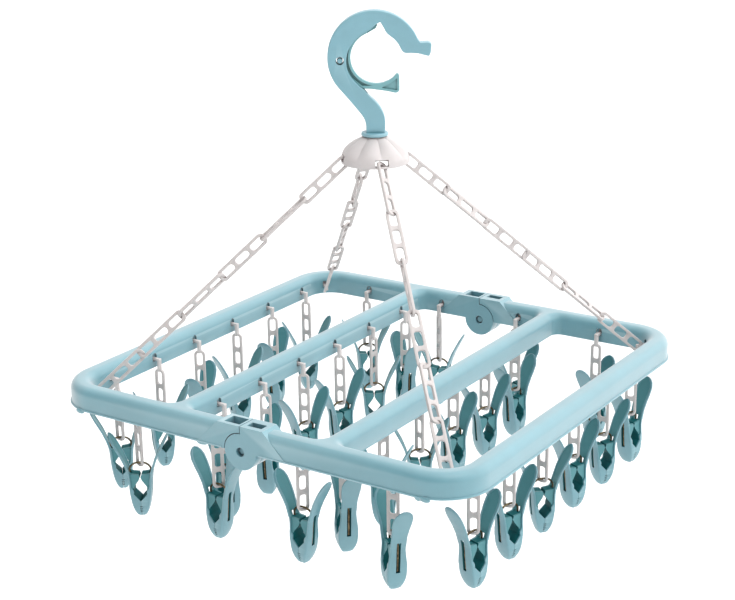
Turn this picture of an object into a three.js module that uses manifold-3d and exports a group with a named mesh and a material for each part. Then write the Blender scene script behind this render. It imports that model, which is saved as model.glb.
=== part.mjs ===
// Clip drying hanger: a two-leaf folding frame on four ladder chains, a hub and a clamping rail hook.
// Millimetres, +Z up. Built about the frame's centre at peg-hole height, then moved so that the
// origin is the point inside the hook that rests on the rail.
import * as THREE from 'three';
import { mergeVertices } from 'three/addons/utils/BufferGeometryUtils.js';
import Module from 'manifold-3d';

const wasm = await Module();
wasm.setup();

const GAP = 0.3;

// Frame: an inverted channel with a rounded top, in two leaves that meet at x = 0.
const INNER_X = 161.2;
const INNER_Y = 158.9;
const RAIL_W = 16.2;
const OUTER_X = INNER_X + RAIL_W;
const OUTER_Y = INNER_Y + RAIL_W;
const OUTER_R = 36;
const INNER_R = OUTER_R - RAIL_W;
const BAR_X = 57.4;
const BAR_W = 14.4;
const TOP_Z = 9;
const LOW_Z = -8.5;
const WALL = 2;
const CORNER_STEPS = 5;
const HOLE = { w: 5, h: 6.6 };
const PITCH_Y = 50;
const PITCH_X = 74.5;

// Hinge: two lugs side by side on a pin below the abutting ends of the leaves.
const PIVOT_Z = -8.6;
const LUG_R = 13.4;
const PIN_R = 2.9;
const BLOCK = { top: 10.6, topX: 19.5, lowX: 39 };
const LUG_SPLIT = 0.55;

// Hub, chains and hook.
const HUB_Z = 182.7;
const RIM_R = 24.5;
const RIM_Z = HUB_Z - 20.4;
const LINKS = 6;
const HOOK_TURN = 33.5;
const HOOK_T = 9;
const SEAT = { x: 4.7, z: 82.9 };

// Peg: all heights are measured from the apex of its spring wire.
const APEX_Z = -49.2;
const WIRE_R = 0.75;
const LINK_T = 2.2;
const LINK_W = 9;
const HANG = 4.4;
const CHAIN_HANG = 6.5;
const FULCRUM_Z = -10.6;

const rad = THREE.MathUtils.degToRad;

// ---------- solids ----------

function solid(geometry) {
  const bare = new THREE.BufferGeometry();
  const flat = geometry.index ? geometry.toNonIndexed() : geometry;
  bare.setAttribute('position', flat.getAttribute('position'));
  const merged = mergeVertices(bare, 1e-4);
  return new wasm.Manifold(new wasm.Mesh({
    numProp: 3,
    vertProperties: merged.attributes.position.array,
    triVerts: new Uint32Array(merged.index.array),
  }));
}

function geometryOf(body) {
  const mesh = body.getMesh();
  const geometry = new THREE.BufferGeometry();
  geometry.setAttribute('position', new THREE.BufferAttribute(new Float32Array(mesh.vertProperties), 3));
  geometry.setIndex(new THREE.BufferAttribute(new Uint32Array(mesh.triVerts), 1));
  return geometry;
}

function union(bodies) {
  return bodies.reduce((sum, body) => sum.add(body));
}

function arc(cx, cy, r, from, to, steps) {
  const points = [];
  for (let i = 0; i <= steps; i += 1) {
    const a = rad(from + ((to - from) * i) / steps);
    points.push([cx + r * Math.cos(a), cy + r * Math.sin(a)]);
  }
  return points;
}

function shapeOf(points, holes = []) {
  const vectors = (list) => list.map(([x, y]) => new THREE.Vector2(x, y));
  const outline = vectors(points);
  if (THREE.ShapeUtils.isClockWise(outline)) outline.reverse();
  const shape = new THREE.Shape(outline);
  shape.holes = holes.map((hole) => new THREE.Path(vectors(hole)));
  return shape;
}

function plate(points, depth, holes = []) {
  return new THREE.ExtrudeGeometry(shapeOf(points, holes), { depth, bevelEnabled: false });
}

// A profile drawn in x and z, given a thickness along y between two values.
function slab(points, y0, y1, holes = []) {
  return plate(points, y1 - y0, holes).rotateX(Math.PI / 2).translate(0, y1, 0);
}

function box(x0, x1, y0, y1, z0, z1) {
  const geometry = new THREE.BoxGeometry(x1 - x0, y1 - y0, z1 - z0);
  return geometry.translate((x0 + x1) / 2, (y0 + y1) / 2, (z0 + z1) / 2);
}

function rodY(r, x, z, y0, y1, sides = 24) {
  return new THREE.CylinderGeometry(r, r, y1 - y0, sides).translate(x, (y0 + y1) / 2, z);
}

class Polyline extends THREE.Curve {
  constructor(points) {
    super();
    this.points = points.map((p) => new THREE.Vector3(...p));
  }

  getPoint(t, target = new THREE.Vector3()) {
    const place = t * (this.points.length - 1);
    const i = Math.min(Math.floor(place), this.points.length - 2);
    return target.lerpVectors(this.points[i], this.points[i + 1], place - i);
  }

  getPointAt(u, target) {
    return this.getPoint(u, target);
  }

  getTangentAt(u, target = new THREE.Vector3()) {
    const last = this.points.length - 1;
    const i = Math.round(u * last);
    const before = this.points[Math.max(i - 1, 0)];
    const after = this.points[Math.min(i + 1, last)];
    return target.subVectors(after, before).normalize();
  }
}

// A round wire through a list of points.
function wire(points, r, sides = 6) {
  const ring = arc(0, 0, r, 0, 360 - 360 / sides, sides - 1);
  return new THREE.ExtrudeGeometry(shapeOf(ring), {
    steps: points.length - 1,
    extrudePath: new Polyline(points),
    bevelEnabled: false,
  });
}

// ---------- frame leaves ----------

function leafOutline(side) {
  const points = [
    [17, -OUTER_Y],
    ...arc(OUTER_X - OUTER_R, -OUTER_Y + OUTER_R, OUTER_R, -90, 0, CORNER_STEPS),
    ...arc(OUTER_X - OUTER_R, OUTER_Y - OUTER_R, OUTER_R, 0, 90, CORNER_STEPS),
    [17, OUTER_Y],
    [17, INNER_Y],
    [BAR_X, INNER_Y],
    [BAR_X, -INNER_Y],
    [17, -INNER_Y],
  ];
  return points.map(([x, y]) => [x * side, y]);
}

function leafWindow(side) {
  const points = [
    [BAR_X + BAR_W, -INNER_Y],
    ...arc(INNER_X - INNER_R, -INNER_Y + INNER_R, INNER_R, -90, 0, CORNER_STEPS),
    ...arc(INNER_X - INNER_R, INNER_Y - INNER_R, INNER_R, 0, 90, CORNER_STEPS),
    [BAR_X + BAR_W, INNER_Y],
  ];
  return points.map(([x, y]) => [x * side, y]);
}

// The leaf's plan with its upper edges rounded, drawn in by inset on every side.
function leafCore(side, inset, top, segments) {
  const round = 5;
  const geometry = new THREE.ExtrudeGeometry(shapeOf(leafOutline(side), [leafWindow(side)]), {
    depth: 20,
    bevelSize: round,
    bevelThickness: round,
    bevelOffset: -round - inset,
    bevelSegments: segments,
  });
  return solid(geometry.translate(0, 0, top - 20 - round));
}

// A thin lip along the lower outer edge.
function leafLip(side) {
  const out = 0.9;
  const points = [
    [BLOCK.lowX + 1, -OUTER_Y - out],
    ...arc(OUTER_X - OUTER_R, -OUTER_Y + OUTER_R, OUTER_R + out, -90, 0, CORNER_STEPS),
    ...arc(OUTER_X - OUTER_R, OUTER_Y - OUTER_R, OUTER_R + out, 0, 90, CORNER_STEPS),
    [BLOCK.lowX + 1, OUTER_Y + out],
    [BLOCK.lowX + 1, OUTER_Y - 1],
    ...arc(OUTER_X - OUTER_R, OUTER_Y - OUTER_R, OUTER_R - 1, 90, 0, CORNER_STEPS),
    ...arc(OUTER_X - OUTER_R, -OUTER_Y + OUTER_R, OUTER_R - 1, 0, -90, CORNER_STEPS),
    [BLOCK.lowX + 1, -OUTER_Y + 1],
  ];
  return solid(plate(points.map(([x, y]) => [x * side, y]), 1.3).translate(0, 0, LOW_Z));
}

// The raised block at one end of a leaf with its lug; end is -1 at the front and 1 at the rear.
function hingeBlock(side, end) {
  const ySplit = INNER_Y + RAIL_W * LUG_SPLIT;
  const outerLayer = [ySplit + GAP / 2, OUTER_Y];
  const innerLayer = [INNER_Y, ySplit - GAP / 2];
  const [own, other] = side > 0 ? [outerLayer, innerLayer] : [innerLayer, outerLayer];
  const span = ([a, b]) => (end > 0 ? [a, b] : [-b, -a]);
  const profile = [
    [0.15, BLOCK.top],
    [BLOCK.topX, BLOCK.top],
    [BLOCK.lowX, LOW_Z],
    [0.15, LOW_Z],
  ].map(([x, z]) => [x * side, z]);
  const [y0, y1] = span([INNER_Y, OUTER_Y]);
  let body = solid(slab(profile, y0, y1));
  body = body.subtract(solid(rodY(LUG_R + 0.5, 0, PIVOT_Z, ...span([other[0] - 1, other[1] + 1]), 28)));
  body = body.add(solid(rodY(LUG_R, 0, PIVOT_Z, ...span(own), 28)));
  body = body.subtract(solid(rodY(PIN_R + GAP, 0, PIVOT_Z, y0 - 1, y1 + 1, 16)));
  const pocket = side > 0 ? [4, 15.5, INNER_Y + 4.5, INNER_Y + 11.5] : [2, 15, INNER_Y + 3, INNER_Y + 13];
  const [px0, px1] = side > 0 ? [pocket[0], pocket[1]] : [-pocket[1], -pocket[0]];
  const [py0, py1] = span([pocket[2], pocket[3]]);
  return body.subtract(solid(box(px0, px1, py0, py1, BLOCK.top - 3.4, BLOCK.top + 1)));
}

function holeRowY() {
  return [0, 1, 2, 3, 4, 5].map((i) => (i - 2.5) * PITCH_Y);
}

function holeRowX() {
  return [-1.5, -0.5, 0.5, 1.5].map((k) => k * PITCH_X);
}

function wallHole(x, y, turn) {
  const geometry = new THREE.BoxGeometry(8, HOLE.w, HOLE.h);
  return solid(geometry.rotateZ(rad(turn)).translate(x, y, 0));
}

function leafHoles(side) {
  const sideHoles = holeRowY().map((y) => wallHole(INNER_X * side, y, 0));
  const barHoles = holeRowY().map((y) => wallHole(BAR_X * side, y, 0));
  const frontHoles = holeRowX().map((x) => wallHole(x, -INNER_Y, 90));
  const rearHoles = holeRowX().map((x) => wallHole(x, INNER_Y, 90));
  const reach = INNER_R * Math.SQRT1_2;
  const corners = [-1, 1].map((end) => wallHole(
    (INNER_X - INNER_R + reach) * side,
    (INNER_Y - INNER_R + reach) * end,
    45 * side * end,
  ));
  return union([...sideHoles, ...barHoles, ...frontHoles, ...rearHoles, ...corners]);
}

function leaf(side) {
  const far = OUTER_X + 20;
  const below = solid(box(-far, far, -far, far, -60, LOW_Z));
  let body = leafCore(side, 0, TOP_Z, 2).subtract(below).add(leafLip(side));
  body = body.add(hingeBlock(side, -1)).add(hingeBlock(side, 1));
  const cavity = leafCore(side, WALL, TOP_Z - WALL, 1);
  const hinge = solid(box(-20, 20, -far, far, -60, 60));
  return body.subtract(cavity.subtract(hinge)).subtract(leafHoles(side));
}

function hingePin(end) {
  const y0 = end > 0 ? INNER_Y + 1 : -OUTER_Y + 1;
  return solid(rodY(PIN_R, 0, PIVOT_Z, y0, y0 + RAIL_W - 2, 16));
}

// ---------- ladder strips ----------

// A rectangle between two heights, with its corners cut off where chamfer is above 0.
function cornered(w, low, top, c) {
  if (c === 0) return [[-w, low], [w, low], [w, top], [-w, top]];
  return [
    [-w + c, low], [w - c, low], [w, low + c], [w, top - c],
    [w - c, top], [-w + c, top], [-w, top - c], [-w, low + c],
  ];
}

// A strip with three oblong openings between two heights, flat across x.
function ladder({ low, top, endBar, midBar, open, width, thick, chamfer }) {
  const count = 3;
  const height = (top - low - 2 * endBar - (count - 1) * midBar) / count;
  const holes = [];
  for (let i = 0; i < count; i += 1) {
    const z0 = low + endBar + i * (height + midBar);
    holes.push(cornered(open / 2, z0, z0 + height, chamfer));
  }
  const outline = cornered(width / 2, low, top, chamfer);
  return slab(outline, -thick / 2, thick / 2, holes).rotateZ(Math.PI / 2);
}

// A neck rising from low, an arm through a wall hole toward +x and a catch turned up behind the wall.
function hookArm(reach, low) {
  const back = reach + WALL + 0.5;
  return slab([
    [-1.2, low], [1.2, low], [1.2, -2.4], [back + 1.4, -2.4], [back + 1.4, 1.6],
    [back, 1.6], [back, -0.4], [-1.2, -0.4],
  ], -1.5, 1.5);
}

// ---------- main chains ----------

const CHAIN_ROLLS = {
  front_left: [0, 90, 0, 35, -30, 0],
  front_right: [26, 90, 0, 90, 60, 90],
  rear_left: [26, 0, 90, 45, 90, 30],
  rear_right: [0, 40, 0, 20, 65, 0],
};

// Where a chain's last link meets its corner, for the corner at +x +y.
function cornerPoint() {
  const reach = (INNER_R - CHAIN_HANG) * Math.SQRT1_2;
  return new THREE.Vector3(INNER_X - INNER_R + reach, INNER_Y - INNER_R + reach, -1.7);
}

// One chain of linked strips from the hub's rim to the corner at +x +y.
function chain(rolls) {
  const eye = new THREE.Vector3(RIM_R * Math.SQRT1_2, RIM_R * Math.SQRT1_2, RIM_Z);
  const corner = cornerPoint();
  const way = corner.clone().sub(eye).normalize();
  const endBar = 2.4;
  const start = eye.clone().addScaledVector(way, -2.2);
  const end = corner.clone().addScaledVector(way, 1);
  const pitch = start.distanceTo(end) / LINKS;
  const length = pitch + 2 * endBar - 0.3;
  const heading = Math.atan2(way.y, way.x);
  const lean = Math.acos(-way.z);
  const links = rolls.map((roll, i) => {
    const strip = ladder({
      low: -length / 2, top: length / 2, endBar, midBar: 3.4, open: 4.8, width: LINK_W, thick: 1.9, chamfer: 0,
    });
    const at = start.clone().addScaledVector(way, pitch * (i + 0.5));
    strip.rotateZ(rad(90 + roll)).rotateY(-lean).rotateZ(heading);
    return solid(strip.translate(at.x, at.y, at.z));
  });
  const arm = hookArm(CHAIN_HANG, -4).rotateZ(rad(45)).translate(corner.x, corner.y, 0);
  return union([...links, solid(arm)]);
}

// ---------- pegs ----------

const JAW_SIDE = [
  [0.2, -42], [3.1, -40.4], [5.7, -35], [7.8, -26], [9.3, -12], [12.6, 0], [17.3, 12], [21.6, 24.2],
  [20.2, 25.4], [18.4, 23.6], [15, 12], [8.3, -7.6], [1.2, -8.2], [0.2, FULCRUM_Z], [1.2, -13],
  [4.9, -18], [4.9, -23.5], [0.2, -28.8],
];
const JAW_FRONT = [
  [2.4, 26], [5.6, 23.6], [7.2, 19], [7.2, 14], [5.9, 2], [5.9, -10], [7.2, -22], [7.3, -30], [6.2, -37],
  [3.4, -42.5],
];
const JAW_PLAIN = [
  [0.2, -42], [4.4, -38.5], [7.8, -26], [9.3, -12], [12.6, 0], [21.6, 24.2], [20, 25.2],
  [10.6, 2], [8.3, -7.6], [0.2, FULCRUM_Z], [4.9, -19], [0.2, -28.8],
];
const WIRE_SIDE = [[4.5, -0.9], [7.6, -3.6], [8, -8], [7.9, -14], [7.6, -22], [7, -26.6]];

function jaw() {
  const outline = [...JAW_FRONT, ...JAW_FRONT.map(([y, z]) => [-y, z]).reverse()];
  const side = solid(slab(JAW_SIDE, -8, 8));
  return side.intersect(solid(slab(outline, -22, 22).rotateZ(Math.PI / 2)));
}

// The slot down a jaw's outer face that takes the spring's leg.
function wireSlot() {
  return solid(slab([[14, -1], [6.9, -1], [6.2, -7.4], [6.2, -27.8], [14, -27.8]], -1.4, 1.4));
}

function turned(body, degrees) {
  return solid(geometryOf(body).rotateZ(rad(degrees)));
}

function springWire(reach, drop, sides) {
  const half = WIRE_SIDE.slice(0, reach);
  const points = [
    ...half.map(([x, z]) => [-x, 0, z]).reverse(),
    [0, 0, 0],
    ...half.map(([x, z]) => [x, 0, z]),
  ];
  return solid(wire(points.map(([x, y, z]) => [x, y, z - drop]), WIRE_R, sides));
}

// The strip that carries a clip: hooked into the wall at +x, its ladder turned about the vertical.
function pegLink(stripTurn, chamfer) {
  const low = APEX_Z - WIRE_R - GAP - 1.8;
  const strip = ladder({
    low, top: -9.6, endBar: 1.8, midBar: 3.6, open: 5, width: LINK_W, thick: LINK_T, chamfer,
  });
  return solid(hookArm(HANG, -10.8)).add(solid(strip.rotateZ(rad(stripTurn))));
}

function clipPart(body, clipTurn) {
  return geometryOf(body).rotateZ(rad(clipTurn)).translate(0, 0, APEX_Z);
}

// A whole peg as one piece, for the rows where the four parts are not kept apart.
function wholePeg(clipTurn, stripTurn) {
  const half = solid(slab(JAW_PLAIN, -6.6, 6.6));
  const clip = union([half, turned(half, 180), springWire(3, 0.5, 4)]);
  return geometryOf(pegLink(stripTurn, 0).add(solid(clipPart(clip, clipTurn))));
}

// ---------- hub and hook ----------

function lathe(points, sides) {
  const profile = points.map(([r, z]) => new THREE.Vector2(r, z));
  return new THREE.LatheGeometry(profile, sides).rotateX(Math.PI / 2);
}

function hubBell() {
  const profile = [
    [3.3, -6], [8, -6], [17.8, -11.8], [23.6, -17.2], [23.6, -21.6],
    [25.4, -21.6], [25.4, -16.2], [23.8, -13.8], [19, -9.6], [8.5, -3], [3.3, -3], [3.3, -6],
  ];
  let body = solid(lathe(profile, 16).rotateZ(rad(11.25)).translate(0, 0, HUB_Z));
  for (let i = 0; i < 4; i += 1) {
    const slot = box(21.5, 27, -5.1, 5.1, -19.8, -13.8).rotateZ(rad(45 + 90 * i));
    body = body.subtract(solid(slot.translate(0, 0, HUB_Z)));
  }
  return body;
}

function hubRetainer() {
  const profile = [[0, -10.8], [4.8, -10.8], [7, -8.4], [7, -6.4], [3.3, -6.4], [3.3, -9.5], [0, -9.5]];
  return solid(lathe(profile, 16).translate(0, 0, HUB_Z));
}

const HOOK_OUTLINE = [
  [-6.4, 1], [-6.4, 9], [-7.8, 12.6], [-19.6, 28],
  ...arc(0.4, 56.8, 34.3, 212, 20, 22),
  [33.7, 67.6], [39.6, 67.8], [42.1, 65.9], [40.8, 57.6], [36.2, 58.5], [32, 59.6],
  [22.8, 59.9], [20.3, 62.1], [17.9, 66.7], [14.6, 70.5], [9.6, 74.7], [7.2, 79.4], [SEAT.x, SEAT.z],
  [2.4, 78.4], [-2, 76.4], [-7.1, 74.6], [-12.1, 70.9], [-16.4, 66], [-19, 61], [-20.1, 55.1],
  [-19.6, 49.2], [-17.6, 44.1], [-14.3, 39.8], [-10.6, 35.9], [-7.7, 34.2], [-3.5, 28.6],
  [1.5, 23.8], [4.8, 19.9], [7.3, 13.9], [8, 8.7], [7.6, 1],
];
const LEVER_PIN = [-24.8, 54.8];
const LEVER_T = 4.4;
const LEVER_OUTLINE = [
  [2.6, 78.3], [0.4, 76.1],
  ...arc(2, 56.6, 19, 110, 292, 12),
  [12.4, 40.2], [16.4, 44.6], [18.2, 43.6], [18.4, 32.4], [15.9, 30.4], [2.4, 33.2], [-9.6, 34.4],
  [-17.6, 41], [-23.4, 49.4], [-28.6, 52], [-29.6, 55], [-28.4, 58.2], [-24, 61.6], [-20, 67.4],
  [-13, 73.8], [-5, 77.6], [1.6, 79.6],
];

function inHookFrame(geometry) {
  return geometry.translate(0, 0, HUB_Z);
}

function hookBody() {
  const t = HOOK_T / 2;
  const flange = new THREE.CylinderGeometry(10, 10, 2.6, 28).rotateX(Math.PI / 2);
  const stem = new THREE.CylinderGeometry(3, 3, 11, 20).rotateX(Math.PI / 2).translate(0, 0, -3.7);
  const groove = [...arc(0.4, 56.8, 32.4, 86, 222, 16), [-11, 33], [-5, 30], [4, 45], [4.4, 60]];
  let body = solid(slab(HOOK_OUTLINE, -t, t)).add(solid(flange)).add(solid(stem));
  body = body.subtract(solid(slab(groove, -LEVER_T / 2 - GAP, LEVER_T / 2 + GAP)));
  body = body.subtract(solid(rodY(2.4 + GAP, ...LEVER_PIN, -t - 1, t + 1, 16)));
  return inHookFrame(geometryOf(body));
}

function hookLever() {
  const body = solid(slab(LEVER_OUTLINE, -LEVER_T / 2, LEVER_T / 2));
  return inHookFrame(geometryOf(body.subtract(solid(rodY(2.4 + GAP, ...LEVER_PIN, -5, 5, 16)))));
}

function leverPin() {
  return inHookFrame(rodY(2.4, ...LEVER_PIN, -HOOK_T / 2 + 0.6, HOOK_T / 2 - 0.6, 16));
}

// ---------- materials ----------

function plastic(colour, roughness) {
  return new THREE.MeshStandardMaterial({ color: colour, roughness, metalness: 0 });
}

const finishes = {
  framePlastic: () => plastic(0x9cc6cf, 0.42),
  hookPlastic: () => plastic(0x8fc3cf, 0.4),
  leverPlastic: () => plastic(0x7dbabd, 0.42),
  clipPlastic: () => plastic(0x86b6bc, 0.45),
  linkPlastic: () => plastic(0xe2dad6, 0.5),
  springSteel: () => new THREE.MeshStandardMaterial({ color: 0x8a7350, roughness: 0.35, metalness: 0.9 }),
};

// ---------- assembly ----------

const hanger = new THREE.Group();
const seatX = SEAT.x * Math.cos(rad(HOOK_TURN));
const seatY = SEAT.x * Math.sin(rad(HOOK_TURN));
hanger.position.set(-seatX, -seatY, -(HUB_Z + SEAT.z));

function add(name, geometry, finish, { at = [0, 0, 0], turn = 0, scale = [1, 1, 1] } = {}) {
  const mesh = new THREE.Mesh(geometry, finish());
  mesh.name = name;
  mesh.position.set(...at);
  mesh.rotation.z = rad(turn);
  mesh.scale.set(...scale);
  hanger.add(mesh);
}

add('hook_body', hookBody(), finishes.hookPlastic, { turn: HOOK_TURN });
add('hook_lever', hookLever(), finishes.leverPlastic, { turn: HOOK_TURN });
add('hook_lever_pin', leverPin(), finishes.leverPlastic, { turn: HOOK_TURN });
add('hub_bell', geometryOf(hubBell()), finishes.linkPlastic);
add('hub_retainer', geometryOf(hubRetainer()), finishes.linkPlastic);
add('frame_leaf_left', geometryOf(leaf(-1)), finishes.framePlastic);
add('frame_leaf_right', geometryOf(leaf(1)), finishes.framePlastic);
add('hinge_pin_front', geometryOf(hingePin(-1)), finishes.framePlastic);
add('hinge_pin_rear', geometryOf(hingePin(1)), finishes.framePlastic);

for (const [name, rolls] of Object.entries(CHAIN_ROLLS)) {
  const scale = [name.endsWith('left') ? -1 : 1, name.startsWith('front') ? -1 : 1, 1];
  add(`chain_${name}`, geometryOf(chain(rolls)), finishes.linkPlastic, { scale });
}

// Rows of pegs: where each hangs, the direction of its wall, and how far each clip has turned.
const ROWS = {
  left: { wall: 180, facing: 123.5, x: -INNER_X + HANG, ys: holeRowY(), turns: [10, 20, 75, 30, 70, 20] },
  bar_left: { wall: 180, facing: 123.5, x: -BAR_X + HANG, ys: holeRowY(), turns: [-60, 75, 40, 35, 0, -70] },
  bar_right: { wall: 0, facing: 123.5, x: BAR_X - HANG, ys: holeRowY(), turns: [-75, -20, 5, 40, 30, 45] },
  right: { wall: 0, facing: 123.5, x: INNER_X - HANG, ys: holeRowY(), turns: [40, 35, 15, 35, 25, 45] },
  front: { wall: -90, facing: 90, y: -INNER_Y + HANG, xs: holeRowX(), turns: [0, -35, -35, -70] },
  rear: { wall: 90, facing: 90, y: INNER_Y - HANG, xs: holeRowX(), turns: [10, -20, 30, 50] },
};
const SPLIT_PEGS = ['front_1', 'front_2', 'front_3', 'front_4', 'right_1'];
const TWIST = 38;

// The strip twists on its hook by up to TWIST from the clip, toward the way its row's strips face.
function stripAzimuth(clipAzimuth, facing) {
  const away = ((facing - clipAzimuth + 90) % 180 + 180) % 180 - 90;
  return clipAzimuth + Math.max(-TWIST, Math.min(TWIST, away));
}

for (const [row, { wall, facing, x, y, xs, ys, turns }] of Object.entries(ROWS)) {
  turns.forEach((turn, i) => {
    const name = `${row}_${i + 1}`;
    const clipAzimuth = HOOK_TURN + turn;
    const clipTurn = clipAzimuth - wall;
    const stripTurn = stripAzimuth(clipAzimuth, facing) - wall;
    const place = { at: [x ?? xs[i], y ?? ys[i], 0], turn: wall };
    if (!SPLIT_PEGS.includes(name)) {
      add(`peg_${name}`, wholePeg(clipTurn, stripTurn), finishes.clipPlastic, place);
      return;
    }
    const half = jaw().subtract(wireSlot());
    add(`peg_${name}_link`, geometryOf(pegLink(stripTurn, 1.2)), finishes.linkPlastic, place);
    add(`peg_${name}_spring`, clipPart(springWire(6, 0, 6), clipTurn), finishes.springSteel, place);
    add(`peg_${name}_jaw_a`, clipPart(half, clipTurn), finishes.clipPlastic, place);
    add(`peg_${name}_jaw_b`, clipPart(half, clipTurn + 180), finishes.clipPlastic, place);
  });
}

export default hanger;
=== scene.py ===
"""Looks of the clip drying hanger: moulded frame, hinge blocks, pegs, chains, hub and hook.

Lengths are in millimetres about the frame's centre at peg-hole height, and turn into metres in the
shared frame when a mesh is made.
"""
import math

import bmesh
import bpy
from mathutils import Matrix, Vector


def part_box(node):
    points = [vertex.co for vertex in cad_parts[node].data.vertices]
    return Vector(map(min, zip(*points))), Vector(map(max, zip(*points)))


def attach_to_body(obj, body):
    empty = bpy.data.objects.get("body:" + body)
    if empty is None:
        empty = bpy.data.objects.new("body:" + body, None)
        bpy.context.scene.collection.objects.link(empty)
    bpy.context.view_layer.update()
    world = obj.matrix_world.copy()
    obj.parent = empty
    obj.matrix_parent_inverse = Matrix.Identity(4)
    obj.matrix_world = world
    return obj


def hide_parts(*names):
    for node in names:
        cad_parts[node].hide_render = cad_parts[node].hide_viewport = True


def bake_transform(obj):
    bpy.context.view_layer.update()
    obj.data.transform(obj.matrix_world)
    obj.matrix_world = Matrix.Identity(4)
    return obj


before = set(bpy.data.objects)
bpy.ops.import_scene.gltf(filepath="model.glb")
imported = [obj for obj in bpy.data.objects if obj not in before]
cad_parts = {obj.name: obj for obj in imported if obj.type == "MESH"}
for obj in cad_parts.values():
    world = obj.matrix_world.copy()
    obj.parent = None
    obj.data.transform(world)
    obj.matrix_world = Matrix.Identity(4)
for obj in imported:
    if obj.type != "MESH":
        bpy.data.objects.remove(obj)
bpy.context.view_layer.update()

MM = 0.001

# Frame
INNER_X, INNER_Y = 161.2, 158.9
RAIL_W = 16.2
OUTER_X, OUTER_Y = INNER_X + RAIL_W, INNER_Y + RAIL_W
OUTER_R = 36
INNER_R = OUTER_R - RAIL_W
BAR_X, BAR_W = 57.4, 14.4
TOP_Z, LOW_Z = 9, -8.5
WALL = 2
FILLET_R = 7
CORNER_STEPS, FILLET_STEPS = 20, 8
STUB_X = 17
PITCH_Y, PITCH_X = 50, 74.5
HOLE_W, HOLE_H = 5, 6.6
HOLES_Y = [(i - 2.5) * PITCH_Y for i in range(6)]
HOLES_X = [(i - 1.5) * PITCH_X for i in range(4)]

# Hinge
PIVOT_Z = -8.6
LUG_R = 13.4
PIN_R = 2.9
BLOCK_TOP, BLOCK_TOP_X, BLOCK_LOW_X = 10.6, 19.5, 39
PROUD = 0.4
LUG_SPLIT_Y = INNER_Y + RAIL_W * 0.55
LUG_GAP = 0.3

# Hub, chains and hook
HUB_Z = 182.7
RIM_R = 24.5
RIM_Z = HUB_Z - 20.4
HOOK_TURN = 33.5
HOOK_T = 9
LEVER_T = 4.4
LEVER_PIN = (-24.8, 54.8)
CHAIN_HANG = 6.5
CHAIN_LINKS = 6
CHAIN_EYE_Z = -1.7
# How far each link is rolled about the chain's line, from the hub down, in degrees.
CHAIN_ROLLS = {
    "front_left": [0, 90, 0, 35, -30, 0],
    "front_right": [50, 90, 0, 90, 60, 90],
    "rear_left": [90, 0, 90, 45, 90, 30],
    "rear_right": [0, 40, 0, 20, 65, 0],
}

# Pegs, measured from the apex of the spring wire
APEX_Z = -49.2
HANG = 4.4
STRIP_TOP, STRIP_END_BAR = -9.2, 1.8
WIRE_R, WIRE_GAP = 0.75, 0.3
# The most that a strip is turned away from its clip, in degrees.
TWIST = 38

low_left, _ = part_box("frame_leaf_left")
_, high_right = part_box("frame_leaf_right")
CENTRE = Vector((
    (low_left.x + high_right.x) / 2,
    (low_left.y + high_right.y) / 2,
    high_right.z - BLOCK_TOP * MM,
))


# ---------- meshes ----------

def to_object(bm, name, material, smooth_angle=35):
    """A mesh object from a bmesh in millimetres about the frame's centre."""
    bmesh.ops.recalc_face_normals(bm, faces=bm.faces)
    bm.transform(Matrix.Translation(CENTRE) @ Matrix.Scale(MM, 4))
    mesh = bpy.data.meshes.new(name)
    bm.to_mesh(mesh)
    bm.free()
    for polygon in mesh.polygons:
        polygon.use_smooth = True
    mesh.set_sharp_from_angle(angle=math.radians(smooth_angle))
    for one in material if isinstance(material, tuple) else (material,):
        mesh.materials.append(one)
    obj = bpy.data.objects.new(name, mesh)
    bpy.context.scene.collection.objects.link(obj)
    return obj


def attach(obj, body, node=None):
    """Fix the object to a body and let it stand for a CAD node."""
    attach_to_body(obj, body)
    if node is not None:
        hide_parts(node)


def modified(bm, kind, settings):
    """The bmesh after one Blender modifier."""
    mesh = bpy.data.meshes.new("work")
    bm.to_mesh(mesh)
    bm.free()
    obj = bpy.data.objects.new("work", mesh)
    bpy.context.scene.collection.objects.link(obj)
    modifier = obj.modifiers.new(kind, kind)
    for key, value in settings.items():
        setattr(modifier, key, value)
    bpy.context.view_layer.update()
    result = bmesh.new()
    result.from_object(obj, bpy.context.evaluated_depsgraph_get())
    bpy.data.objects.remove(obj)
    return result


def combined(bm, tool, operation):
    """Boolean of two closed bmeshes."""
    mesh = bpy.data.meshes.new("tool")
    bmesh.ops.recalc_face_normals(tool, faces=tool.faces)
    bmesh.ops.recalc_face_normals(bm, faces=bm.faces)
    tool.to_mesh(mesh)
    tool.free()
    obj = bpy.data.objects.new("tool", mesh)
    bpy.context.scene.collection.objects.link(obj)
    result = modified(bm, "BOOLEAN", {"operation": operation, "solver": "EXACT", "object": obj})
    bpy.data.objects.remove(obj)
    return result


def cut(bm, tool):
    return combined(bm, tool, "DIFFERENCE")


def fused(bm, tool):
    return combined(bm, tool, "UNION")


def bevelled(bm, width, segments=3, angle=35):
    return modified(bm, "BEVEL", {
        "width": width, "segments": segments, "limit_method": "ANGLE",
        "angle_limit": math.radians(angle), "use_clamp_overlap": True,
    })


def flatten(obj, smallest=30):
    """Shade the faces larger than the given area, in square millimetres, flat beside their smooth bevels."""
    for polygon in obj.data.polygons:
        if polygon.area > smallest * MM * MM:
            polygon.use_smooth = False


def joined(parts):
    """One bmesh with the given bmeshes side by side."""
    whole = bmesh.new()
    for part in parts:
        mesh = bpy.data.meshes.new("join")
        part.to_mesh(mesh)
        part.free()
        whole.from_mesh(mesh)
        bpy.data.meshes.remove(mesh)
    return whole


def copied(bm, matrix):
    """A moved copy, with its faces still turned outward when the matrix mirrors it."""
    twin = bm.copy()
    twin.transform(matrix)
    if matrix.determinant() < 0:
        bmesh.ops.reverse_faces(twin, faces=twin.faces)
    return twin


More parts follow.
